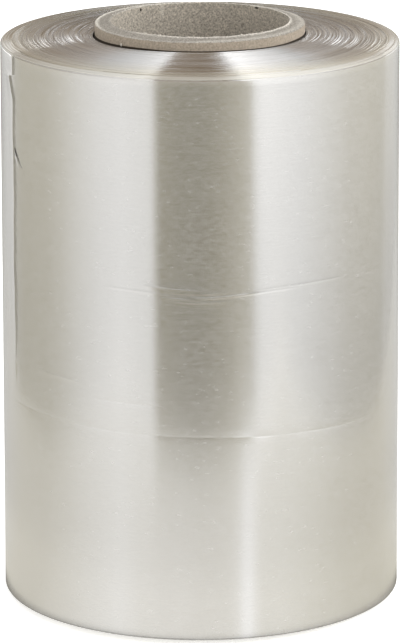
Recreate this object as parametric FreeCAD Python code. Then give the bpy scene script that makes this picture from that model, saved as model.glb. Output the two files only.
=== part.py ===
"""A full roll of clear sealing film on a cardboard core, standing on the core's lower end.

Lengths are in millimetres and angles in degrees. +Z is the roll's axis, and the origin is the
centre of the core's lower end. An angle of 0 points along +X and grows counterclockwise.
"""
import FreeCAD, Part
import math
import os

from FreeCAD import Vector

# Core: a straight tube wound from cardboard
core_bore = 76.0           # the standard 3 inch core
core_wall = 6.6
core_reach = 5.5           # how far it stands out of the innermost turns, at each end
core_cut_rise = 1.0        # the upper cut leans: its inner edge is this much above its outer edge

# Wound film
film_diameter = 171.0
film_width = 240.0
telescoping = 3.25         # how much higher the innermost turns sit than the outermost
rim_bevel = 0.5            # where the outermost turns have slumped, at both rims

# Ledges: groups of turns that stand a little proud of their neighbours on the two end faces
ledge_count = 12
ledge_height = 0.5         # of the tallest
ledge_unevenness = 0.7     # how much a ledge's edge strays, as a share of the mean width
smooth_rim = 4.0           # the band inside each rim that has no ledges

# Free end of the film: it lies down the wall from rim to rim
tail_angle = 200.0
tail_step = 0.25

core_radius = core_bore / 2 + core_wall
core_length = film_width + 2 * core_reach
film_radius = film_diameter / 2
rim_height = core_reach + film_width - telescoping


def share(index):
    """Give an uneven number from 0 to 1, the same on every run; the golden angle spreads them."""
    golden_angle = 137.5
    return 0.5 + 0.5 * math.sin(math.radians(golden_angle * index))


def revolve(outline):
    """Turn a closed outline of (radius, height) points about the roll's axis."""
    corners = [Vector(radius, 0, height) for radius, height in outline]
    section = Part.Face(Part.makePolygon(corners + corners[:1]))
    return section.revolve(Vector(0, 0, 0), Vector(0, 0, 1), 360)


def cone_height(radius):
    """Give the height of the upper end face without its ledges."""
    depth = (film_radius - radius) / (film_radius - core_radius)
    return rim_height + telescoping * depth


def upper_end_outline():
    """List (radius, height) along the upper end face, from the core to the smooth rim's edge."""
    mean_width = (film_radius - smooth_rim - core_radius) / ledge_count
    points = []
    inner = core_radius
    for ledge in range(ledge_count):
        stray = ledge_unevenness * (share(ledge) - 0.5)
        outer = core_radius + mean_width * (ledge + 1 + stray)
        points.append((inner, cone_height(inner) - ledge_height * share(2 * ledge)))
        points.append((outer, cone_height(outer) - ledge_height * share(2 * ledge + 1)))
        inner = outer
    points.append((inner, cone_height(inner)))
    return points


def film_outline():
    """Draw the film's outer wall from above: two half circles whose ends miss by the tail's step.

    The wall grows by one step in a full turn, as a spiral does, and drops back at the free end.
    """
    shift = tail_step / 2
    up = Vector(0, 0, 1)
    inner_half = Part.makeCircle(film_radius - shift, Vector(-shift, 0, 0), up, 0, 180)
    outer_half = Part.makeCircle(film_radius, Vector(0, 0, 0), up, 180, 360)
    free_end = Part.makeLine(Vector(film_radius, 0, 0), Vector(film_radius - tail_step, 0, 0))
    return Part.Face(Part.Wire([inner_half, outer_half, free_end]))


def make_core_tube():
    bore_radius = core_bore / 2
    return revolve([
        (bore_radius, 0),
        (core_radius, 0),
        (core_radius, core_length - core_cut_rise),
        (bore_radius, core_length),
    ])


def make_film_roll():
    """Wind the film: every turn is one strip of the same width, so both ends have one form."""
    upper = upper_end_outline()
    lower = [(radius, height - film_width) for radius, height in reversed(upper)]
    bevel_start = film_radius - rim_bevel
    bevel_end = film_radius + rim_bevel
    wound = revolve(
        upper
        + [(bevel_start, rim_height), (bevel_end, rim_height - 2 * rim_bevel)]
        + [(bevel_end, rim_height - film_width + 2 * rim_bevel), (bevel_start, rim_height - film_width)]
        + lower
    )
    wall = film_outline().extrude(Vector(0, 0, 3 * core_length))
    wall.translate(Vector(0, 0, -core_length))
    wall.rotate(Vector(0, 0, 0), Vector(0, 0, 1), tail_angle)
    return wound.common(wall)


def export(shape, node):
    """Write one node's solid, and stop if it isn't a single closed one."""
    solids = shape.Solids
    if len(solids) != 1 or not solids[0].isValid():
        raise ValueError(f"{node} isn't one valid solid")
    solids[0].exportStep(f"parts/{node}.step")
    print(f"{node}: {solids[0].Volume / 1000:.1f} cm3")


os.makedirs("parts", exist_ok=True)
export(make_core_tube(), "core_tube")
export(make_film_roll(), "film_roll")
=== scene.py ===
"""A full roll of clear sealing film on a cardboard core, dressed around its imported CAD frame.

Lengths are in metres, +Z is the roll's axis, and the roll stands on the origin. A bearing round
the roll is in degrees: 0 is in front, towards -Y, and 90 is to the right.
"""
import bisect
import functools
import math
import random

import bmesh
import bpy
from bpy.props import FloatProperty, FloatVectorProperty, PointerProperty
from mathutils import Matrix, Vector, noise


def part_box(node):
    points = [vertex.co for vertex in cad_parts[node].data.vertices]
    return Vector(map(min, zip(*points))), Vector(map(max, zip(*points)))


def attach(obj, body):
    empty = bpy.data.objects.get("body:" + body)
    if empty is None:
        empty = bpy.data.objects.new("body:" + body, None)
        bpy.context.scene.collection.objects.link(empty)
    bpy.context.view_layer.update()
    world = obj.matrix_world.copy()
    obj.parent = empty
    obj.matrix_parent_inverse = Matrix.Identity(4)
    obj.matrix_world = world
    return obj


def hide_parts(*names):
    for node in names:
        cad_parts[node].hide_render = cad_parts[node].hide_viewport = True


bl_info = {
    "name": "Sealing Film Roll",
    "version": (1, 0, 0),
    "blender": (4, 5, 0),
    "location": "View3D > Sidebar > Film Roll",
    "description": "Winds a roll of clear sealing film on its cardboard core and sets a studio around it",
    "category": "Add Mesh",
}

MM = 0.001
RISER_RUN = 0.02 * MM  # how far the risers between terraces lean outwards
CREASE_HALF_WIDTH = 0.36 * MM

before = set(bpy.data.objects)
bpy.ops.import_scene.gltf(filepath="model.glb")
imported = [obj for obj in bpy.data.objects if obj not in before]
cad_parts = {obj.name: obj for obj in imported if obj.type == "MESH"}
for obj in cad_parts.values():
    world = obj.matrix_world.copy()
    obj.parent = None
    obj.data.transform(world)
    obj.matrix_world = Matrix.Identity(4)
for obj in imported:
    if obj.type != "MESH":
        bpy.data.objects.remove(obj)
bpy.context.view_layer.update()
film_low, film_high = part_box("film_roll")
core_low, core_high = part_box("core_tube")


def linear(hex_colour):
    """Turn an sRGB hex colour into the linear values that shaders take."""
    channels = [int(hex_colour[i:i + 2], 16) / 255 for i in (1, 3, 5)]
    return [c / 12.92 if c <= 0.04045 else ((c + 0.055) / 1.055) ** 2.4 for c in channels]


def colour_property(name, description, hex_colour):
    """Declare a colour setting from its default in sRGB."""
    return FloatVectorProperty(
        name=name, description=description, subtype="COLOR", size=3, min=0, max=1,
        default=linear(hex_colour),
    )


def length_property(name, description, default):
    """Declare a length setting from its default in metres."""
    return FloatProperty(
        name=name, description=description, default=default, min=0, unit="LENGTH", precision=5
    )


def angle_property(name, description, degrees):
    """Declare an angle setting from its default in degrees."""
    return FloatProperty(name=name, description=description, subtype="ANGLE", default=math.radians(degrees))


class FilmSettings(bpy.types.PropertyGroup):
    """Sizes and colours of the wound film."""

    radius: length_property("Radius", "Radius of the wound film", (film_high.x - film_low.x) / 2)
    width: length_property("Width", "Width of the film, the same in every turn", 240 * MM)
    core_radius: length_property("Core radius", "Where the first turn lies", (core_high.x - core_low.x) / 2)
    upper_lean: length_property("Upper lean", "How much smaller the radius is at the upper rim", 0.8 * MM)
    rim_round: length_property("Rim rounding", "How far the last turns have slumped at the rims", 1 * MM)
    smooth_rim: length_property("Smooth rim", "Band inside each rim where the turns lie level", 4.6 * MM)
    terrace_height: length_property("Terrace height", "How unevenly neighbouring turns lie", 0.18 * MM)
    ledge_height: length_property("Ledge height", "How far the proudest turns stand out", 0.25 * MM)
    proud_share: FloatProperty(
        name="Proud share", description="How many terraces stand proud", default=0.12
    )
    seam_depth: length_property("Seam depth", "How deep the first turns lie beside the core", 3 * MM)
    seam_width: length_property("Seam width", "Width of that groove beside the core", 0.7 * MM)
    left_dip: length_property("Left dip", "How far the first turns have sunk left of the core", 1.5 * MM)
    right_dip: length_property("Right dip", "How far the first turns have sunk right of the core", 0.7 * MM)
    dip_reach: length_property("Dip reach", "Radial reach of that sinking", 5 * MM)
    ripple_height: length_property("Ripple height", "Relief of the fine ripples in front", 0.7 * MM)
    side_ripple_height: length_property(
        "Side ripple height", "Relief of the fine ripples at both sides", 2.7 * MM
    )
    edge_lean: angle_property("Edge lean", "How far the slit edges lean outwards", 48)
    wander: length_property("Wander", "How far the terraces stray from true circles", 0.3 * MM)
    wander_reach: length_property("Wander reach", "Radial distance over which that straying turns", 3 * MM)
    tail_angle: angle_property("Tail angle", "Where the film's free end lies", 203.3)
    tail_step: length_property("Tail step", "How far the last turn stands off the one below", 0.2 * MM)
    tail_lift: length_property(
        "Tail lift", "How far the free end's edge has sprung off the wall", 0.45 * MM
    )
    tail_gap: angle_property("Tail gap", "Angle that the free end's edge takes", 0.06)
    notch_height: length_property("Notch height", "Where the free end is torn, above the floor", 232.6 * MM)
    notch_drop: length_property("Notch drop", "Height of the torn notch", 9.5 * MM)
    notch_angle: angle_property("Notch angle", "How deep the torn notch is", 3.4)
    burr_top: length_property(
        "Burr top", "Where a torn sliver leaves the free end, above the floor", 201.6 * MM
    )
    burr_drop: length_property("Burr drop", "How far the sliver's tip hangs below", 6.4 * MM)
    burr_width: length_property(
        "Burr width", "Upright width of the sliver where it leaves the free end", 2.2 * MM
    )
    burr_thickness: length_property("Burr thickness", "Thickness of the sliver's curled edge", 0.3 * MM)
    burr_lift: length_property("Burr lift", "How far the sliver's tip stands off the wall", 0.45 * MM)
    burr_angle: angle_property("Burr angle", "How far round the wall the sliver points", 3.9)
    wall_colour: colour_property("Wall colour", "Tint of the light that the wound wall mirrors", "#E7E6E4")
    inner_edge_colour: colour_property("Inner edge colour", "The slit edges near the core", "#EEEDEC")
    edge_colour: colour_property("Edge colour", "The slit edges near the rim", "#E8E4DB")
    rim_colour: colour_property("Rim colour", "The level outer band of slit edges", "#F1ECDF")
    # Painted highlight: the rim line's pale colour stands for the light that the rounded edges of the last
    # turns catch
    rim_highlight_colour: colour_property("Rim line colour", "The pale line just inside the rim", "#F8F5ED")
    # Painted shadow: this grey stands for the shade in the gap under the lifted free end
    free_edge_shadow_colour: colour_property("Free edge colour", "The narrow cut face of the free end", "#A5A298")


class CoreSettings(bpy.types.PropertyGroup):
    """Sizes and colours of the cardboard core."""

    bore_radius: length_property("Bore radius", "Radius of the standard 76 mm bore", 38 * MM)
    cut_rise: length_property("Cut rise", "How far the upper cut leans up towards the bore", 1 * MM)
    lip_height: length_property("Lip height", "Burr that the blade left along both edges", 0.45 * MM)
    fibre_reach: length_property("Fibre reach", "How far torn fibres stand above the lips", 0.25 * MM)
    outer_colour: colour_property("Outer ply colour", "The brown-grey ply outside", "#B8AB9B")
    cut_colour: colour_property("Cut colour", "The plies where the blade cut them", "#9C968D")
    bore_colour: colour_property("Bore ply colour", "The grey ply in the bore", "#C6BEB2")
    # Painted shade: the bore is darkened below its mouth, where shade falls
    bore_dimming: FloatProperty(
        name="Bore dimming", description="How much dust darkens the bore below its mouth",
        default=0.38,
    )
    fibre_colour: colour_property("Fibre colour", "Torn fibres along the cut edges", "#E2DCD2")
    speck_colour: colour_property("Speck colour", "Bark specks in the pulp", "#3A342C")
    # Painted shadow: this dark colour stands for the shade where the first turn meets the core
    seam_shadow_colour: colour_property(
        "Seam colour", "The dusty line where the first turn meets the core", "#3E352B"
    )
    seam_line: length_property("Seam line", "Height of that line in front", 0.3 * MM)
    side_seam_line: length_property(
        "Side seam line", "How much higher that line is at both sides", 0.5 * MM
    )


class StageSettings(bpy.types.PropertyGroup):
    """The camera and the pale floor."""

    lens: FloatProperty(name="Lens", description="Focal length", subtype="DISTANCE_CAMERA", default=252.4)
    distance: length_property("Distance", "From the camera to the point it looks at", 1943 * MM)
    elevation: angle_property("Elevation", "Height of the camera's view", 14.88)
    roll: angle_property("Roll", "How far the camera leans to its right", 0.14)
    aim_height: length_property("Aim height", "Height of the point that the camera looks at", 118.2 * MM)
    aim_left: length_property("Aim left", "How far left of the roll's axis the camera looks", 0.27 * MM)
    floor_colour: colour_property("Floor colour", "The pale floor", "#F7F7F6")


def add_node(tree, kind, inputs=(), **settings):
    """Add a shader node. Its inputs come by name, or in their order from the first.

    An input takes a value, an output to link, or a node for its first output. In order, a
    MapRange takes the value, the two ends that it lies between, and those that they become.
    """
    made = tree.nodes.new("ShaderNode" + kind)
    for name, value in settings.items():
        setattr(made, name, value)
    for name, value in inputs.items() if isinstance(inputs, dict) else enumerate(inputs):
        if isinstance(value, bpy.types.Node):
            value = next(output for output in value.outputs if output.enabled)
        if isinstance(value, bpy.types.NodeSocket):
            tree.links.new(value, made.inputs[name])
        else:
            made.inputs[name].default_value = value
    return made


def start_nodes(owner):
    """Empty the nodes of a material or a world, and return what adds nodes there."""
    owner.use_nodes = True
    owner.node_tree.nodes.clear()
    return functools.partial(add_node, owner.node_tree)


def new_material(name):
    """Start a material without nodes, and return it and what adds nodes to it."""
    material = bpy.data.materials.new(name)
    return material, start_nodes(material)


def set_surface(add, inputs):
    """Give a material its Principled shader."""
    add("OutputMaterial", {"Surface": add("BsdfPrincipled", inputs)})


def set_stops(ramp, stops):
    """Give a colour ramp its (position, colour) stops, in order."""
    elements = ramp.elements
    elements.remove(elements[1])
    for index, (position, colour) in enumerate(stops):
        element = elements[0] if index == 0 else elements.new(position)
        element.position = position
        element.color = colour


def opaque(colour):
    """Add a full alpha to a colour."""
    return (*colour, 1)


def greys(stops):
    """Turn (position, level) stops into (position, colour) ones."""
    return [(position, (level, level, level, 1)) for position, level in stops]


def share(value, low, high):
    """Give where a value lies between two others, held between 0 and 1."""
    return min(1, max(0, (value - low) / (high - low)))


def peak(value, low, top, high):
    """Give a share that grows straight from 0 at low to 1 at top, and falls to 0 at high."""
    return min(share(value, low, top), share(-value, -high, -top))


def eased(value, low, high):
    """Give where a value lies between two others, with a soft start and a soft end."""
    part = share(value, low, high)
    return part * part * (3 - 2 * part)


def plateau(value, low, full, fading, high):
    """Give an eased share that is 1 from full to fading, and 0 below low and above high."""
    return eased(value, low, full) * eased(-value, -high, -fading)


def bearing_of(place):
    """Give the bearing of a place round the roll."""
    return math.degrees(math.atan2(place.x, -place.y))


def faces_out(face):
    """Tell whether a face looks away from the roll's axis, as the wall does."""
    centre = face.calc_center_median()
    return face.normal.dot(Vector((centre.x, centre.y, 0)).normalized()) > 0.6


def core_dip(film, radius, bearing):
    """How far the first turns have sunk beside the core at a bearing, most of all on the left."""
    across = math.sin(math.radians(bearing))
    near = math.exp(-((radius - film.core_radius) / film.dip_reach) ** 2)
    return near * across * across * (film.left_dip if across < 0 else film.right_dip)


def cone(film, radius):
    """Height of an end face above its rim, from the telescoping of the turns."""
    telescoping = film_high.z - film_low.z - film.width
    return telescoping * (film.radius - radius) / (film.radius - film.core_radius)


def spin_outline(bm, outline, columns, start_angle):
    """Turn a closed outline of (radius, height) points once about the roll's axis."""
    points = [
        bm.verts.new((radius * math.cos(start_angle), radius * math.sin(start_angle), height))
        for radius, height in outline
    ]
    edges = [bm.edges.new(pair) for pair in zip(points, points[1:] + points[:1])]
    bmesh.ops.spin(
        bm, geom=points + edges, cent=(0, 0, 0), axis=(0, 0, 1), dvec=(0, 0, 0), angle=math.tau,
        steps=columns, use_merge=True, use_normal_flip=False, use_duplicate=False,
    )
    bmesh.ops.remove_doubles(bm, verts=bm.verts, dist=1e-6)
    bmesh.ops.recalc_face_normals(bm, faces=bm.faces)


def add_object(bm, name, materials):
    """Turn a finished bmesh into an object of the scene."""
    mesh_data = bpy.data.meshes.new(name)
    bm.to_mesh(mesh_data)
    bm.free()
    for material in materials:
        mesh_data.materials.append(material)
    made = bpy.data.objects.new(name, mesh_data)
    bpy.context.scene.collection.objects.link(made)
    return made


def finish_piece(bm, name, replaced, materials):
    """Make the modelled shape a piece under the root's empty, and hide the frame's part that it replaces.
    """
    piece = add_object(bm, name, materials)
    for polygon in piece.data.polygons:
        polygon.use_smooth = True
    piece.data.set_sharp_from_angle(angle=math.radians(50))
    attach(piece, "root")
    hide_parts(replaced)


class Terrace:
    """A group of turns whose slit edges lie at one height on an end face."""

    calming = 0.6  # share of the unevenness that is gone at the rim
    proud_heights = (0.4, 1)  # of the ledge height
    swings = (0.2, 0.7)  # of the terrace's own height
    wave_counts = (1, 1, 2, 3)
    back = (95, 125)  # bearings over which the swell dies down towards the back
    back_calming = 0.7

    def __init__(self, draw, inner, width, film):
        self.inner = inner
        self.width = width
        proud = draw.random() < film.proud_share
        outwards = share(inner, film.core_radius, film.radius)
        self.height = film.terrace_height * (1 - self.calming * outwards) * draw.random()
        if proud:
            self.height += film.ledge_height * draw.uniform(*self.proud_heights)
        self.swing = self.height * draw.uniform(*self.swings)
        self.waves = draw.choice(self.wave_counts)
        self.phase = draw.uniform(0, math.tau)
        self.evens_out = True

    def rise(self, angle, bearing):
        """Height above the end's plain cone at an angle past the free end."""
        height = self.height - self.swing * (0.5 + 0.5 * math.sin(self.waves * angle + self.phase))
        if self.evens_out:
            height *= 1 - self.back_calming * eased(abs(bearing), *self.back)
        return height


class EndFace:
    """The slit edges at one end of the roll: terraces of uneven width, then the level rim."""

    widths = (0.5, 1.5)  # of the mean
    rim_rings = 4

    def __init__(self, draw, film, count):
        widths = [draw.uniform(*self.widths) for _ in range(count)]
        scale = (film.radius - film.smooth_rim - film.core_radius) / sum(widths)
        self.terraces = []
        inner = film.core_radius
        for width in widths:
            self.terraces.append(Terrace(draw, inner, width * scale, film))
            inner += width * scale
        groove, ledge = self.terraces[:2]
        spare = groove.width - film.seam_width
        groove.width = film.seam_width
        groove.height = -film.seam_depth
        groove.swing = 0
        groove.evens_out = False
        ledge.inner -= spare
        ledge.width += spare
        ledge.height = film.ledge_height
        ledge.swing = 0
        self.starts = [terrace.inner - RISER_RUN / 2 for terrace in self.terraces]

    def radii(self, film):
        """List the radii of the face's rings: two for each terrace, then the level rim."""
        radii = []
        for terrace in self.terraces:
            radii += [terrace.inner, terrace.inner + terrace.width - RISER_RUN]
        start = film.radius - film.smooth_rim
        level = film.smooth_rim - film.rim_round
        return radii + [start + level * ring / self.rim_rings for ring in range(self.rim_rings)]

    def terrace_at(self, radius):
        """Give the terrace that holds a radius."""
        return self.terraces[bisect.bisect(self.starts, radius) - 1]


class Crease:
    """A faint wrinkle that runs round part of the wall, from a left to a right bearing."""

    reach = 2 * MM  # no row further off is dented

    def __init__(self, height, depth, left, right, fade=8):
        self.height = height * MM
        self.depth = depth * MM
        self.left = left
        self.right = right
        self.fade = fade

    def dent(self, height, bearing):
        """How far the crease sinks the wall at a place."""
        if abs(height - self.height) >= self.reach:
            return 0
        across = math.exp(-((height - self.height) / CREASE_HALF_WIDTH) ** 2)
        return self.depth * across * plateau(
            bearing, self.left, self.left + self.fade, self.right - self.fade, self.right
        )


# Height and depth in millimetres, then bearings: the sagging ones in the middle, then the level ones
CREASES = (
    Crease(155.4, 0.09, -17, 2, 5), Crease(154.3, 0.07, -14, 9, 4),
    Crease(152.9, 0.03, -30, -4, 6), Crease(151.6, 0.09, -12, 3, 4),
    Crease(152.4, 0.1, -5, 16, 4), Crease(152.4, 0.022, 10, 30, 6),
    Crease(153.4, 0.018, 13, 46), Crease(150.5, 0.07, -9, 9, 4),
    Crease(90.9, 0.035, -84, -12, 20), Crease(90.9, 0.02, -24, 12),
    Crease(90.9, 0.05, 6, 22, 5), Crease(90.9, 0.035, 16, 64, 20),
    Crease(103.8, 0.03, -34, -8), Crease(109.6, 0.035, -58, -34),
)


class FILMROLL_OT_wind_film(bpy.types.Operator):
    """Wind the film: one closed form with terraced end faces, a smooth wall and a free end"""

    bl_idname = "filmroll.wind_film"
    bl_label = "Wind the Film"

    seed = 5
    columns = 256
    crowding = 0.6  # how much closer the columns stand at the free end
    upper_terraces = 84
    lower_terraces = 24
    first_ring_dip = 0.6  # of the dip beside the core, at the seam's own ring

    rim_segments = 6
    row_step = 4 * MM
    fine_row_step = 1.3 * MM
    fine_drop = 2.5  # how far the fine rows reach down from the notch's top, in notch drops
    notch_row_drop = 0.4 * MM
    crease_rows = 2
    least_crease_gap = 0.3 * MM
    least_row_gap = 0.6 * MM

    middle_crease = 152 * MM
    low_crease = 91.2 * MM
    sag_span = (10 * MM, 236 * MM)  # rows outside it keep their height
    sag_depth = 2.4 * MM
    sag_drop = 2 * MM
    sag_bearing = 16
    low_tilt = -0.028 * MM  # for each degree of bearing

    tail_waves = ((0.25, 9 * MM), (0.12, 3.1 * MM))  # size in degrees, and reach upwards
    tail_wave_span = (60 * MM, 225 * MM, 240 * MM)
    upper_tail_shift = math.radians(0.3)
    tail_reach = (0.3, 0.4)  # radians before and after the free end that follow its edge
    sprung_angle = 0.1
    free_heights = (98 * MM, 134 * MM)  # the free end lies flat below, and is sprung above

    burr_segments = (2, 8)
    burr_taper = 0.8
    wall_band = 2 * MM
    rim_band = 0.5 * MM
    # The last two finishes are painted shadows: the grey of the free end's edge and the dark of the groove
    # beside the core
    wall, slit_edges, cut_edge, dusty = range(4)

    def wall_heights(self, film, top, bottom):
        """List the wall's rows from the top down, close together at the creases and the notch."""
        rows = int((top - bottom) / self.row_step)
        wanted = [bottom + self.row_step * row for row in range(1, rows)]
        fine_low = film.notch_height - self.fine_drop * film.notch_drop
        fine_rows = int((top - fine_low) / self.fine_row_step)
        wanted += [fine_low + self.fine_row_step * row for row in range(fine_rows)]
        fixed = [film.notch_height, film.notch_height - self.notch_row_drop]
        for crease in CREASES:
            for row in range(-self.crease_rows, self.crease_rows + 1):
                fixed.append(crease.height + row * CREASE_HALF_WIDTH)
        heights = []
        for height in sorted(fixed):
            if not heights or height - heights[-1] > self.least_crease_gap:
                heights.append(height)
        for height in wanted:
            if all(abs(height - other) > self.least_row_gap for other in heights):
                heights.append(height)
        return sorted(heights, reverse=True)

    def outline(self, film, upper, lower):
        """List the section's points: the upper end outwards, the wall down, the lower end back in."""
        bevel = film.rim_round
        inside = film.radius - bevel
        upper_rim = film_low.z + film.width
        top, bottom = upper_rim - bevel, film_low.z + bevel
        segments = range(self.rim_segments + 1)
        turns = [math.pi / 2 * segment / self.rim_segments for segment in segments]
        return (
            [(radius, upper_rim + cone(film, radius)) for radius in upper.radii(film)]
            + [(inside + bevel * math.sin(turn), top + bevel * math.cos(turn)) for turn in turns]
            + [(film.radius, height) for height in self.wall_heights(film, top, bottom)]
            + [(inside + bevel * math.cos(turn), bottom - bevel * math.sin(turn)) for turn in turns]
            + [(radius, film_low.z + cone(film, radius)) for radius in reversed(lower.radii(film))]
        )

    def tail_stray(self, film, height):
        """How far the free end's edge strays at a height; the notch jumps in and slants back."""
        waves = sum(size * math.sin(height / reach) for size, reach in self.tail_waves)
        stray = math.radians(waves) * plateau(height, film_low.z, *self.tail_wave_span)
        if height > film.notch_height:
            return stray - self.upper_tail_shift
        torn = share(height, film.notch_height - film.notch_drop, film.notch_height)
        return stray - film.notch_angle * torn

    def crease_offset(self, height, bearing):
        """How far the wall's rows are moved up to follow the creases."""
        sag = self.sag_depth * (1 - math.exp(-(bearing / self.sag_bearing) ** 2)) - self.sag_drop
        lowest, highest = self.sag_span
        middle = peak(height, self.low_crease, self.middle_crease, highest)
        low = peak(height, lowest, self.low_crease, self.middle_crease)
        return sag * middle + self.low_tilt * bearing * low

    def shape_vert(self, film, vert, upper, lower):
        """Move a point of the plain winding to where the film's lie puts it."""
        radius = math.hypot(vert.co.x, vert.co.y)
        height = vert.co.z
        on_top = height > film_low.z + film.width / 2
        at_rim = share(radius, film.core_radius, film.radius)
        turned = (math.atan2(vert.co.y, vert.co.x) - film.tail_angle) % math.tau
        if turned > math.tau - 1e-4:
            turned = 0
        part = turned / math.tau * self.columns / (self.columns - 1)
        full_turn = math.tau - film.tail_gap
        angle = (part - self.crowding * math.sin(math.tau * part) / math.tau) * full_turn
        bearing = math.degrees((angle + film.tail_angle + math.pi / 2) % math.tau)
        bearing -= 360 if bearing > 180 else 0

        stray = 0
        terrace_end = film.radius - film.smooth_rim - RISER_RUN / 2
        if film.core_radius + RISER_RUN / 2 < radius < terrace_end:
            terrace = (upper if on_top else lower).terrace_at(radius)
            vert.co.z += terrace.rise(angle, bearing) * (1 if on_top else -1)
            vert.co.z -= core_dip(film, radius, bearing) if on_top else 0
            radius += film.wander * math.sin(angle + radius / film.wander_reach)
        elif on_top and radius < film.core_radius + RISER_RUN:
            vert.co.z -= self.first_ring_dip * core_dip(film, radius, bearing)
        elif radius > film.radius - 1e-6:
            for crease in CREASES:
                radius -= crease.dent(height, bearing)
            vert.co.z += self.crease_offset(height, bearing)
            before, after = self.tail_reach
            stray = self.tail_stray(film, height) * max(
                eased(-angle, -after, 0), eased(angle, math.tau - before, math.tau)
            )

        sprung = eased(angle, full_turn - self.sprung_angle, full_turn)
        free = eased(height, *self.free_heights)
        held = (1 - free) * abs(math.cos(math.radians(bearing)))
        step = film.tail_step * (1 - part * free) * (free + held)
        radius -= at_rim * (step + film.upper_lean * share(height, film_low.z, film_high.z))
        radius += at_rim ** 8 * film.tail_lift * sprung * free
        angle += film.tail_angle + stray
        vert.co.x = radius * math.cos(angle)
        vert.co.y = radius * math.sin(angle)

    def finish_of(self, film, face):
        """Choose a face's finish from where it lies and how it faces."""
        centre = face.calc_center_median()
        away = centre.xy.length
        level = abs(face.normal.z) > 0.5
        if level:
            return self.slit_edges if away < film.radius - self.rim_band else self.wall
        # Painted shadow: the groove beside the core takes a dark flat colour for the shade down in it
        if centre.z > film_low.z + film.width / 2 and away < film.core_radius + film.seam_width:
            return self.dusty
        # Painted shadow: the faces of the free end's step take the grey of the shade beneath it
        on_wall = away > film.radius - self.wall_band and face.calc_area() > 0
        return self.cut_edge if on_wall and not faces_out(face) else self.wall

    def add_burr(self, bm, film):
        """Set the torn sliver that points off the free end, down and over the wall."""
        upright, sideways = self.burr_segments
        made = bmesh.ops.create_grid(bm, x_segments=upright, y_segments=sideways, size=0.5)
        for vert in made["verts"]:
            along = 0.5 - vert.co.y
            width = film.burr_width * (1 - self.burr_taper * along)
            height = film.burr_top - film.burr_drop * along + width * vert.co.x
            lean = film.upper_lean * share(height, film_low.z, film_high.z)
            radius = film.radius - lean - film.tail_step + film.burr_thickness
            radius += film.burr_lift * along
            angle = film.tail_angle - film.tail_gap + film.burr_angle * along
            vert.co = (radius * math.cos(angle), radius * math.sin(angle), height)
        grid = list({face for vert in made["verts"] for face in vert.link_faces})
        solid = bmesh.ops.solidify(bm, geom=grid, thickness=film.burr_thickness)
        faces = {piece for piece in solid["geom"] if isinstance(piece, bmesh.types.BMFace)}
        faces |= set(grid)
        bmesh.ops.recalc_face_normals(bm, faces=list(faces))
        # Painted shadow: the sliver's sides take the same grey as the free end's edge
        for face in faces:
            face.material_index = self.wall if faces_out(face) else self.cut_edge

    def execute(self, context):
        film = context.scene.film_roll_film
        draw = random.Random(self.seed)
        upper = EndFace(draw, film, self.upper_terraces)
        lower = EndFace(draw, film, self.lower_terraces)
        bm = bmesh.new()
        spin_outline(bm, self.outline(film, upper, lower), self.columns, film.tail_angle)
        for vert in bm.verts:
            self.shape_vert(film, vert, upper, lower)
        bm.normal_update()
        for face in bm.faces:
            face.material_index = self.finish_of(film, face)
        self.add_burr(bm, film)
        # Painted shadow: a dark board colour laid in the groove beside the core, for the shade there
        dust = core_board("dusty_first_turn", context.scene.film_roll_core.seam_shadow_colour, 0.2)
        materials = [film_wall(film), film_edges(film), free_edge(film), dust]
        finish_piece(bm, "wound_film", "film_roll", materials)
        return {"FINISHED"}


def repeats(around, upwards):
    """Give a Mapping's scale for marks of these lengths round the roll and upwards."""
    return (1 / around, 1 / around, 1 / upwards)


def film_wall(film):
    """Clear polyolefin film, blown and wound tight: its many layers mirror like satin metal.

    The film was drawn round the roll under tension, so its fine stretch marks run round the
    wall, and they blur what it mirrors upwards and downwards but hardly sideways.
    """
    material, add = new_material("polyolefin_film_wound_tight")
    place = add("TexCoord").outputs["Object"]
    drawn = add("Mapping", {"Vector": place, "Scale": repeats(14 * MM, 0.8 * MM)})
    streaks = add("TexNoise", {"Vector": drawn, "Scale": 1.0, "Detail": 2.5, "Roughness": 0.6})
    bump = add("Bump", {"Height": streaks, "Strength": 0.11, "Distance": 0.05 * MM})
    grain = add("Mapping", {"Vector": place, "Scale": repeats(2.8 * MM, 0.8 * MM)})
    specks = add("TexNoise", {"Vector": grain, "Scale": 1.0, "Detail": 1.0, "Roughness": 0.6})
    hazes = add("Math", (specks, 2.0, streaks), operation="MULTIPLY_ADD")
    clearness = add("MapRange", (hazes, 0.9, 2.1, 0.73, 0.876))
    set_surface(add, {
        "Base Color": opaque(film.wall_colour), "Metallic": clearness, "Roughness": 0.16,
        "Anisotropic": 0.8, "Anisotropic Rotation": 0.25,
        "Tangent": add("Tangent", direction_type="RADIAL", axis="Z"), "Normal": bump,
    })
    return material


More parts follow.
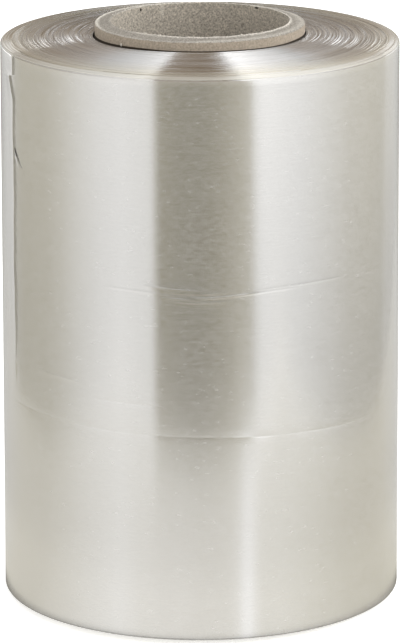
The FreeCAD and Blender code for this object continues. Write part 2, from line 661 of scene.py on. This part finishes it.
def film_edges(film):
    """The slit edges of all the turns: each turn is a fine ring, and its edge leans outwards.

    Each edge mirrors the room from its own short slope. That blurs what an end face mirrors
    along its radius but hardly round it, and it ripples where the slopes change.
    """
    material, add = new_material("polyolefin_film_slit_edges")
    place = add("TexCoord").outputs["Object"]
    flat = add("VectorMath", (place, (1, 1, 0)), operation="MULTIPLY")
    radius = add("VectorMath", (flat,), operation="LENGTH")
    bearing = add("VectorMath", (flat,), operation="NORMALIZE")

    def rings(pitch, turning, detail):
        """Give noise that changes over a pitch along the radius, and slowly round it."""
        out = add("Math", (radius, 1 / pitch), operation="MULTIPLY")
        lift = add("CombineXYZ", {"Z": out})
        around = add("VectorMath", (bearing, (turning,) * 3, lift), operation="MULTIPLY_ADD")
        return add("TexNoise", {"Vector": around, "Scale": 1.0, "Detail": detail, "Roughness": 0.5})

    ripples = rings(0.7 * MM, 0.5, 1.5)
    groups = rings(5 * MM, 0.8, 1.0)
    depth = add("MapRange", (radius, film.core_radius, film.radius))
    tint = add("ValToRGB", {"Fac": depth})
    # From 0.9 out, the pale rim line with less mirror is a painted highlight of the last turns' rounded
    # edges
    set_stops(tint.color_ramp, [(level, opaque(colour)) for level, colour in (
        (0, film.inner_edge_colour), (0.45, film.inner_edge_colour), (0.7, film.edge_colour),
        (0.8, film.rim_colour), (0.87, film.rim_colour), (0.9, film.rim_highlight_colour),
    )])
    mirror = add("ValToRGB", {"Fac": depth})
    set_stops(mirror.color_ramp, greys([
        (0, 0.98), (0.6, 0.93), (0.7, 0.87), (0.8, 0.79), (0.87, 0.76), (0.9, 0.55),
    ]))
    grouped = add("MapRange", (groups, 0.35, 0.65, 1.0, 0.8))
    metallic = add("Math", (mirror, grouped), operation="MULTIPLY")
    across = add("SeparateXYZ", {"Vector": bearing}).outputs["X"]
    at_side = add("Math", (across,), operation="ABSOLUTE")
    swell = add("MapRange", (at_side, 0.6, 0.9, film.ripple_height, film.side_ripple_height))
    centred = add("Math", (ripples, 0.5), operation="SUBTRACT")
    slope = add("Math", (centred, swell), operation="MULTIPLY")
    relief = add("Math", (radius, -math.tan(film.edge_lean), slope), operation="MULTIPLY_ADD")
    set_surface(add, {
        "Base Color": tint, "Metallic": metallic, "Roughness": 0.1,
        "Anisotropic": 0.95, "Anisotropic Rotation": 0.25,
        "Tangent": add("Tangent", direction_type="RADIAL", axis="Z"),
        "Normal": add("Bump", {"Height": relief, "Strength": 1.0, "Distance": 1.0}),
    })
    return material


def free_edge(film):
    """The film's free end, cut by a serrated blade: its narrow edge faces are a flat grey, a painted shadow
    for the gap under the lifted end.
    """
    material, add = new_material("polyolefin_film_free_edge_painted_shadow")
    place = add("TexCoord").outputs["Object"]
    teeth = add("TexNoise", {"Vector": place, "Scale": 1 / (2 * MM), "Detail": 2.0})
    tone = add("MapRange", (teeth, 0.3, 0.7, 0.9, 1.1))
    colour = {0: tuple(film.free_edge_shadow_colour), "Scale": tone}
    shade = add("VectorMath", colour, operation="SCALE")
    set_surface(add, {"Base Color": shade, "Roughness": 0.6})
    return material


class FILMROLL_OT_roll_core(bpy.types.Operator):
    """Roll the cardboard core, with the torn lips that the blade left round its upper cut"""

    bl_idname = "filmroll.roll_core"
    bl_label = "Roll the Core"

    seed = 11
    columns = 288
    cut_rings = 22
    bore_rows = 30
    wall_rows = 4
    soft_edge = 0.3 * MM
    seam_rows = (4 * MM, 6 * MM)  # below the film's top, and above its bottom

    fray_drop = 1.2 * MM
    fray_share = 0.45  # of the lip height
    fray_inwards = 0.12 * MM
    fine_fray = 1.1 * MM
    coarse_fray = 4 * MM
    loose_fibres = 34
    fleck_radius = 0.5 * MM

    outer_ply, cut, bore_ply, fibre, speck, seam = range(6)

    def burr(self, part, bearing):
        """How proudly torn fibres stand on the cut, from the bore (0) to the outside (1).

        Both edges have a lip. The bore's is low at the left and the outer one in front, and to
        the right the outer one is broad and flat.
        """
        inner = 1 - 0.8 * plateau(bearing, -130, -100, -58, -38)
        outer = 1 - 0.75 * plateau(bearing, -85, -65, -15, 15)
        broad = eased(bearing, -15, 15)
        inner_lip = math.exp(-((part - 0.06) / 0.075) ** 2)
        outer_lip = math.exp(-((part - 0.9 + 0.16 * broad) / (0.1 + 0.1 * broad)) ** 2)
        return inner * inner_lip + outer * (1 - 0.6 * broad) * outer_lip

    def cut_height(self, core, part, bearing):
        """Height of the upper cut from the bore (0) to the outside (1)."""
        lowest = core_high.z - core.fibre_reach - core.cut_rise * part - core.lip_height
        return lowest + core.lip_height * self.burr(part, bearing)

    def outline(self, core, outer, outer_top, seam_top):
        """List the section's points: the cut outwards, the wall down, and the bore back up."""
        bore = core.bore_radius
        soft = self.soft_edge
        below_top, above_bottom = self.seam_rows
        points = []
        for ring in range(self.cut_rings + 1):
            part = ring / self.cut_rings
            points.append((bore + (outer - bore) * part, self.cut_height(core, part, 90)))
        for row in range(1, self.wall_rows + 1):
            points.append((outer, outer_top + (seam_top - outer_top) * row / self.wall_rows))
        points += [(outer, film_high.z - below_top), (outer, film_low.z + above_bottom)]
        points += [(outer, soft), (outer - soft, 0), (bore + soft, 0), (bore, soft)]
        bore_top = self.cut_height(core, 0, 90)
        for row in range(1, self.bore_rows):
            points.append((bore, soft + (bore_top - soft) * row / self.bore_rows))
        return points

    def add_fleck(self, bm, bearing, radius, height, size, material):
        """Set a small flattened fleck; size is along the edge, out from the axis, and up."""
        turn = Matrix.Rotation(math.radians(bearing - 90), 4, "Z")
        place = turn @ Matrix.Translation((radius, 0, height))
        stretch = Matrix.Diagonal((size[1], size[0], size[2], 1))
        first = len(bm.faces)
        bmesh.ops.create_icosphere(bm, subdivisions=1, radius=self.fleck_radius, matrix=place @ stretch)
        bm.faces.ensure_lookup_table()
        for face in bm.faces[first:]:
            face.material_index = material

    def add_flecks(self, bm, core, outer, outer_top):
        """Scatter loose fibres along both lips, and set the larger flecks and the bark specks."""
        bore = core.bore_radius
        lip = core_high.z - core.fibre_reach
        draw = random.Random(self.seed)
        for _ in range(self.loose_fibres):
            at_bore = draw.random() < 0.5
            size = (draw.uniform(0.4, 1.5), draw.uniform(0.2, 0.5), draw.uniform(0.2, 0.5))
            radius = bore + 0.4 * MM if at_bore else outer - 0.6 * MM
            height = lip if at_bore else outer_top + 0.2 * MM
            self.add_fleck(bm, draw.uniform(0, 360), radius, height, size, self.fibre)
        placed = (
            (-37, bore + 0.1 * MM, lip, (2.6, 1.0, 0.5), self.fibre),
            (-26, bore + 0.1 * MM, lip, (1.5, 0.7, 0.5), self.fibre),
            (27, bore + 0.1 * MM, lip, (0.9, 0.6, 0.5), self.fibre),
            (-38, bore + 0.1 * MM, lip, (0.7, 0.5, 0.4), self.fibre),
            (-47, outer + 0.35 * MM, film_high.z + 0.6 * MM, (1.1, 0.8, 1.6), self.fibre),
            (-138, bore, lip - 1.4 * MM, (1.2, 0.3, 1.6), self.speck),
            (140, bore - 0.1 * MM, lip - 0.9 * MM, (2.2, 0.3, 0.9), self.speck),
        )
        for fleck in placed:
            self.add_fleck(bm, *fleck)

    def finish_of(self, face, bore_side, outer_top):
        """Choose a face's finish from where it lies and how it faces."""
        centre = face.calc_center_median()
        lowest = min(vert.co.z for vert in face.verts)
        if abs(face.normal.z) > 0.4 or not outer_top > centre.z > self.soft_edge:
            return self.cut
        if centre.xy.length < bore_side:
            return self.bore_ply
        # Painted shadow: the outer ply's faces just below the film's top take the seam's dark colour
        on_seam = film_high.z - 5 * MM < lowest < film_high.z - 3 * MM
        return self.seam if on_seam else self.outer_ply

    def execute(self, context):
        core = context.scene.film_roll_core
        film = context.scene.film_roll_film
        bore, outer = core.bore_radius, film.core_radius
        wall = outer - bore
        outer_top = self.cut_height(core, 1, 90)
        seam_top = film_high.z + film.ledge_height + core.seam_line
        bm = bmesh.new()
        spin_outline(bm, self.outline(core, outer, outer_top, seam_top), self.columns, 0)
        torn = bm.verts.layers.float.new("torn")
        for vert in bm.verts:
            bearing = bearing_of(vert.co)
            if vert.co.z > outer_top - 0.05 * MM:
                part = (vert.co.xy.length - bore) / wall
                vert[torn] = self.burr(part, bearing)
                vert.co.z = self.cut_height(core, part, bearing)
            elif vert.co.z > film_high.z - 2 * MM and vert.co.xy.length > outer - self.soft_edge:
                near = share(vert.co.z, outer_top, seam_top)
                at_side = eased(-bearing, 10, 40) + eased(bearing, 40, 70)
                dip = core_dip(film, outer, bearing)
                vert.co.z += near * (core.side_seam_line * at_side - dip)
            frayed = eased(vert.co.z, outer_top - self.fray_drop, outer_top)
            rough = noise.noise(vert.co / self.fine_fray)
            rough += 0.6 * noise.noise(vert.co / self.coarse_fray)
            vert.co.z += frayed * core.lip_height * self.fray_share * min(0.5, rough - 0.3)
            vert.co.xy *= 1 - frayed * self.fray_inwards / bore * abs(rough)
        for face in bm.faces:
            face.material_index = self.finish_of(face, bore + wall / 2, outer_top)
        self.add_flecks(bm, core, outer, outer_top)
        materials = [
            core_board("grey_board_brown_outer_ply", core.outer_colour, 0.3),
            cut_board(core),
            core_board("grey_board_grey_bore_ply", core.bore_colour, 0.6, core.bore_dimming),
            core_board("torn_pulp_fibre", core.fibre_colour, 0.1),
            core_board("bark_speck_in_pulp", core.speck_colour, 0.2),
            # painted shadow where the first turn meets the core
            core_board("grey_board_dusty_seam", core.seam_shadow_colour, 0.2),
        ]
        finish_piece(bm, "cardboard_core", "core_tube", materials)
        return {"FINISHED"}


def board_tone(add, place, contrast):
    """Give the pulp's mottling: felted fibres about a millimetre across, light and dark."""
    pulp = add("TexNoise", {"Vector": place, "Scale": 1 / (0.8 * MM), "Detail": 3.0, "Roughness": 0.7})
    tone = add("MapRange", (pulp, 0.3, 0.7, 1 - contrast, 1 + 0.7 * contrast))
    return pulp, tone


def core_board(name, colour, contrast, dimming=0):
    """Grey board: recycled pulp pressed in thin plies and wound on a spiral, left unsized.

    The felted fibres scatter all light, so it is matt, and its mottling is the eye's only hold.
    Where dimming is given, a painted shade darkens the bore over the 40 mm below its mouth, and lightens
    its mouth a little.
    """
    material, add = new_material(name)
    place = add("TexCoord").outputs["Object"]
    pulp, tone = board_tone(add, place, contrast)
    height = add("SeparateXYZ", {"Vector": place}).outputs["Z"]
    # Painted shade: darker down the bore, a little lighter at its mouth
    dusty = add("MapRange", (height, core_high.z - 40 * MM, core_high.z, 1 - dimming, 1 + 0.25 * dimming))
    shaded_tone = add("Math", (tone, dusty), operation="MULTIPLY")
    shade = add("VectorMath", {0: tuple(colour), "Scale": shaded_tone}, operation="SCALE")
    bump = add("Bump", {"Height": pulp, "Strength": 0.5, "Distance": 0.2 * MM})
    set_surface(add, {"Base Color": shade, "Roughness": 0.85, "Normal": bump})
    return material


def cut_board(core):
    """Grey board cut across its plies by a rotary blade, which tore pale fibres up at both lips."""
    material, add = new_material("grey_board_blade_cut")
    place = add("TexCoord").outputs["Object"]
    pulp, tone = board_tone(add, place, 0.5)
    torn = add("Attribute", attribute_name="torn").outputs["Fac"]
    colours = {"Factor": torn, "A": opaque(core.cut_colour), "B": opaque(core.fibre_colour)}
    lips = add("Mix", colours, data_type="RGBA")
    shade = add("VectorMath", {0: lips, "Scale": tone}, operation="SCALE")
    bump = add("Bump", {"Height": pulp, "Strength": 0.8, "Distance": 0.3 * MM})
    set_surface(add, {"Base Color": shade, "Roughness": 0.9, "Normal": bump})
    return material


# What the glossy film mirrors. Each ring lists bearings and the light that comes from there.
TABLE_POOLS = (
    (-180, 0.14), (-170, 0.17), (-165, 0.27), (-160, 0.47), (-152, 0.545), (-118, 0.56),
    (-97, 0.555), (-82, 0.615), (-67, 0.69), (-47, 0.77), (-41, 0.735), (-35, 0.7), (-12, 0.715),
    (0, 0.69), (11, 0.68), (17, 0.68), (21.6, 0.72), (25, 0.83), (27.4, 0.86), (29.8, 0.8),
    (31, 0.74), (33.5, 0.67), (35.8, 0.62), (48, 0.605), (68, 0.525), (86, 0.455), (107, 0.44),
    (122, 0.485), (153, 0.545), (161, 0.39), (172, 0.25), (180, 0.14),
)
PANELS = (
    (-180, 0.28), (-167, 0.34), (-161, 0.52), (-150, 0.68), (-139.5, 0.82), (-137, 0.5),
    (-124, 0.47), (-100, 0.51), (-87, 0.62), (-73, 0.79), (-59, 0.92), (-46, 0.98), (-34, 0.925),
    (-28.5, 0.9), (-23.5, 0.235), (-11, 0.17), (0, 0.165), (11, 0.23), (22, 0.375), (27.5, 0.46),
    (30, 0.6), (33.5, 1.1), (40, 1.14), (59, 0.97), (76, 0.8), (95, 0.62), (114, 0.545),
    (130, 0.51), (134.5, 0.62), (156, 0.57), (166, 0.36), (180, 0.28),
)
SKYLINE = (
    (-180, 0.12), (-177, 0.2), (-175, 0.28), (-172, 0.34), (-169, 0.4), (-163, 0.75), (-156, 1.5),
    (-148, 1.9), (-139, 1.9), (-136.5, 0.3), (-90, 0.36), (-28, 0.7), (-22, 0.55), (22, 0.55),
    (28, 1.0), (60, 0.8), (90, 0.45), (130, 0.35), (134, 1.6), (150, 1.5), (160, 0.95),
    (168, 0.6), (172, 0.5), (175, 0.43), (178, 0.26), (180, 0.12),
)
ARCHES = (
    (-180, 0.12), (-114, 0.15), (-99, 0.36), (-92, 0.42), (-81, 0.36), (-70, 0.33), (-60, 0.33),
    (-45, 0.44), (-33, 0.61), (-27, 0.72), (-21, 0.84), (-13.4, 1.12), (-12.9, 0.19), (-8, 0.24),
    (0, 0.17), (7, 0.19), (8.8, 0.24), (9.7, 0.52), (11.3, 0.6), (11.8, 1.6), (13, 1.5),
    (16, 1.3), (24, 1.06), (30, 0.87), (36, 0.74), (42, 0.58), (54, 0.38), (72, 0.36),
    (78, 0.31), (96, 0.38), (114, 0.16), (180, 0.12),
)
ARCH_LEAN = math.radians(15)

# How the table's glow changes outwards, over this distance; the dark start round the roll is a painted
# contact shadow
TABLE_SPAN = 400 * MM
TABLE_REACHES = ((0.22, 0.3), (0.243, 1.09), (0.375, 1.12), (0.48, 1.0), (0.62, 0.94), (0.73, 0.975))

# How far the right-hand panel's edges lean at each upward part of a direction
PANEL_SLANTS = (
    (-0.33, -0.115), (-0.31, -0.09), (-0.274, -0.045), (-0.252, -0.07), (-0.231, -0.047),
    (-0.222, -0.02), (-0.213, 0.045), (-0.204, 0.07),
)


def ring_of_light(add, place, stops, white=1.0, losses=(0.16, 0.68), plain_behind=False):
    """Give the light at each bearing round the roll.

    A level below white is a warm shade: it loses that share of its green and of its blue.
    A ring that is plain behind has neutral greys there.
    """
    parts = add("SeparateXYZ", {"Vector": place}).outputs
    towards = add("Math", (parts["Y"], -1.0), operation="MULTIPLY")
    bearing = add("Math", (parts["X"], towards), operation="ARCTAN2")
    spot = add("MapRange", (bearing, -math.pi, math.pi))
    ramp = add("ValToRGB", {"Fac": spot})
    colours = []
    for degrees, level in stops:
        dark = max(0, 1 - level / white) ** 1.5
        if plain_behind:
            dark *= 1 - 0.75 * eased(abs(degrees), 120, 155)
        colour = (level, level * (1 - losses[0] * dark), level * (1 - losses[1] * dark), 1)
        colours.append(((degrees + 180) / 360, colour))
    set_stops(ramp.color_ramp, colours)
    return ramp


class FILMROLL_OT_set_stage(bpy.types.Operator):
    """Set the pale floor, the studio's soft light and the camera"""

    bl_idname = "filmroll.set_stage"
    bl_label = "Set the Stage"

    floor_half_width = 4
    table_half_width = 350 * MM
    table_front = -375 * MM
    table_back = 900 * MM
    table_drop = 0.5 * MM
    mirrored_middle = 0.53  # where the wall mirrors the table from, as a share of its radius
    sensor_width = 36

    def execute(self, context):
        stage = context.scene.film_roll_stage
        self.lay_floor(stage)
        self.lay_table()
        self.light_studio()
        self.place_camera(stage)
        context.scene.view_settings.view_transform = "Standard"
        return {"FINISHED"}

    def add_sheet(self, name, material, middle, half_size):
        """Add a flat piece of the stage, and return its object."""
        bm = bmesh.new()
        place = Matrix.Translation(middle) @ Matrix.Diagonal((*half_size, 1, 1))
        bmesh.ops.create_grid(bm, x_segments=1, y_segments=1, size=1, matrix=place)
        sheet = add_object(bm, name, [material])
        return sheet

    def lay_floor(self, stage):
        """Lay the pale floor, which lights the shadows and is not mirrored."""
        material, add = new_material("matt_white_floor_paint")
        set_surface(add, {
            "Base Color": opaque(stage.floor_colour), "Roughness": 0.9,
            "Emission Color": (1, 1, 1, 1), "Emission Strength": 0.55,
        })
        size = (self.floor_half_width, self.floor_half_width)
        floor = self.add_sheet("pale_floor", material, (0, 0, 0), size)
        floor.visible_glossy = False

    def lay_table(self):
        """Lay a glowing sheet that only the film's gloss shows: its pools are painted light, and its dark
        ring round the roll is a painted contact shadow.
        """
        material, add = new_material("table_glow_painted_light")
        place = add("TexCoord").outputs["Object"]
        middle = (0, -self.mirrored_middle * film_high.x, 0)
        around = add("VectorMath", (place, middle), operation="SUBTRACT")
        pools = ring_of_light(add, around, TABLE_POOLS, 0.92, plain_behind=True)
        flat = add("VectorMath", (place, (1, 1, 0)), operation="MULTIPLY")
        away = add("VectorMath", (flat,), operation="LENGTH")
        reach = add("MapRange", (away, 0, TABLE_SPAN))
        shading = add("ValToRGB", {"Fac": reach})
        set_stops(shading.color_ramp, greys(TABLE_REACHES))
        glow = add("VectorMath", {0: pools, "Scale": shading}, operation="SCALE")
        set_surface(add, {"Base Color": (0, 0, 0, 1), "Emission Color": glow, "Emission Strength": 1.0})
        middle = (0, (self.table_front + self.table_back) / 2, -self.table_drop)
        half_size = (self.table_half_width, (self.table_back - self.table_front) / 2)
        table = self.add_sheet("table_reflector", material, middle, half_size)
        table.visible_camera = False
        table.visible_diffuse = False
        table.visible_shadow = False

    def panel_light(self, add, direction, across, upwards):
        """Give the lit panels around the roll, as dim below as the room is there."""
        right_part = add("Math", (across, 0.0), operation="MAXIMUM")
        height = add("MapRange", (upwards, -0.4, -0.15))
        lean = add("ValToRGB", {"Fac": height})
        set_stops(lean.color_ramp, greys([
            ((z + 0.4) / 0.25, (slant + 0.2) / 0.4) for z, slant in PANEL_SLANTS
        ]))
        slant = add("MapRange", {"Value": lean, "To Min": -0.2, "To Max": 0.2})
        shift = add("Math", (right_part, slant), operation="MULTIPLY")
        sideways = add("CombineXYZ", {"X": shift})
        slanted = add("VectorMath", (direction, sideways), operation="ADD")
        dimming = add("MapRange", (upwards, -0.36, -0.16, 0.54, 1.06))
        on_right = add("MapRange", (across, 0.4, 0.52))
        right_loss = add("MapRange", (upwards, -0.31, -0.205, -0.56, 0.09))
        right_dimming = add("Math", (on_right, right_loss, 1.0), operation="MULTIPLY_ADD")
        dimmed = add("Math", (dimming, right_dimming), operation="MULTIPLY")
        panels = ring_of_light(add, slanted, PANELS, plain_behind=True)
        return add("VectorMath", {0: panels, "Scale": dimmed}, operation="SCALE")

    def mirrored_light(self, add, direction, upwards, around):
        """Give what the gloss shows: panels below, a skyline, and arches that lean over the roll."""
        skyline = ring_of_light(add, direction, SKYLINE, 1.0, (0.33, 0.72))
        top = (0, math.cos(ARCH_LEAN), 0)
        leaning = add("VectorMath", (direction, top), operation="SUBTRACT")
        overhead = ring_of_light(add, leaning, ARCHES, 0.6, (0.48, 0.92))
        high = add("MapRange", (upwards, 0.05, 0.08))
        upper = add("Mix", {"Factor": high, "A": skyline, "B": overhead}, data_type="RGBA")
        above = add("MapRange", (upwards, -0.08, -0.03))
        return add("Mix", {"Factor": above, "A": around, "B": upper}, data_type="RGBA")

    def scattered_light(self, add, across, upwards, around):
        """Give what lights the matt surfaces: the panels, under a canopy that is brighter right."""
        off_centre = add("Math", (across,), operation="ABSOLUTE")
        in_boxes = add("MapRange", (off_centre, 0.28, 0.45))
        plain, lit = (0.72, 0.71, 0.68, 1), (1.74, 1.74, 1.74, 1)
        boxes = add("Mix", {"Factor": in_boxes, "A": plain, "B": lit}, data_type="RGBA")
        right_hand = add("MapRange", (across, -0.6, 0.6, 0.44, 1.34))
        from_above = add("MapRange", (upwards, 0.3, 0.75, 0.72, 1.25))
        strength = add("Math", (right_hand, from_above), operation="MULTIPLY")
        canopy = add("VectorMath", {0: boxes, "Scale": strength}, operation="SCALE")
        high = add("MapRange", (upwards, 0.2, 0.5))
        return add("Mix", {"Factor": high, "A": around, "B": canopy}, data_type="RGBA")

    def light_studio(self):
        """Light the room softly, and show the camera plain white behind the roll."""
        world = bpy.data.worlds.new("soft_studio")
        bpy.context.scene.world = world
        add = start_nodes(world)
        direction = add("TexCoord").outputs["Generated"]
        parts = add("SeparateXYZ", {"Vector": direction}).outputs
        across, upwards = parts["X"], parts["Z"]
        around = self.panel_light(add, direction, across, upwards)
        mirrored = self.mirrored_light(add, direction, upwards, around)
        scattered = self.scattered_light(add, across, upwards, around)
        seen = add("LightPath").outputs
        light = add(
            "Mix", {"Factor": seen["Is Glossy Ray"], "A": scattered, "B": mirrored},
            data_type="RGBA",
        )
        shown = add(
            "Mix", {"Factor": seen["Is Camera Ray"], "A": light, "B": (1, 1, 1, 1)},
            data_type="RGBA",
        )
        background = add("Background", {"Color": shown, "Strength": 1.0})
        add("OutputWorld", {"Surface": background})

    def place_camera(self, stage):
        """Aim the camera, and make it the scene's."""
        data = bpy.data.cameras.new("camera")
        data.sensor_width = self.sensor_width
        data.lens = stage.lens
        camera = bpy.data.objects.new("camera", data)
        bpy.context.scene.collection.objects.link(camera)
        back = Vector((0, -math.cos(stage.elevation), math.sin(stage.elevation)))
        camera.location = Vector((-stage.aim_left, 0, stage.aim_height)) + back * stage.distance
        tilt = Matrix.Rotation(math.pi / 2 - stage.elevation, 3, "X")
        camera.rotation_euler = (tilt @ Matrix.Rotation(-stage.roll, 3, "Z")).to_euler()
        bpy.context.scene.camera = camera


class FILMROLL_PT_sidebar(bpy.types.Panel):
    """Sizes and colours of the roll, and the steps that make it"""

    bl_idname = "FILMROLL_PT_sidebar"
    bl_label = "Film Roll"
    bl_space_type = "VIEW_3D"
    bl_region_type = "UI"
    bl_category = "Film Roll"

    def draw(self, context):
        scene = context.scene
        for settings in (scene.film_roll_film, scene.film_roll_core, scene.film_roll_stage):
            box = self.layout.box()
            for name in settings.bl_rna.properties.keys():
                if name not in ("rna_type", "name"):
                    box.prop(settings, name)
        for step in STEPS:
            self.layout.operator(step.bl_idname)


STEPS = (FILMROLL_OT_wind_film, FILMROLL_OT_roll_core, FILMROLL_OT_set_stage)
CLASSES = (FilmSettings, CoreSettings, StageSettings, *STEPS, FILMROLL_PT_sidebar)


def register():
    for cls in CLASSES:
        bpy.utils.register_class(cls)
    bpy.types.Scene.film_roll_film = PointerProperty(type=FilmSettings)
    bpy.types.Scene.film_roll_core = PointerProperty(type=CoreSettings)
    bpy.types.Scene.film_roll_stage = PointerProperty(type=StageSettings)


def unregister():
    del bpy.types.Scene.film_roll_film
    del bpy.types.Scene.film_roll_core
    del bpy.types.Scene.film_roll_stage
    for cls in reversed(CLASSES):
        bpy.utils.unregister_class(cls)


def main():
    register()
    bpy.ops.filmroll.wind_film()
    bpy.ops.filmroll.roll_core()
    bpy.ops.filmroll.set_stage()


if __name__ == "__main__":
    main()
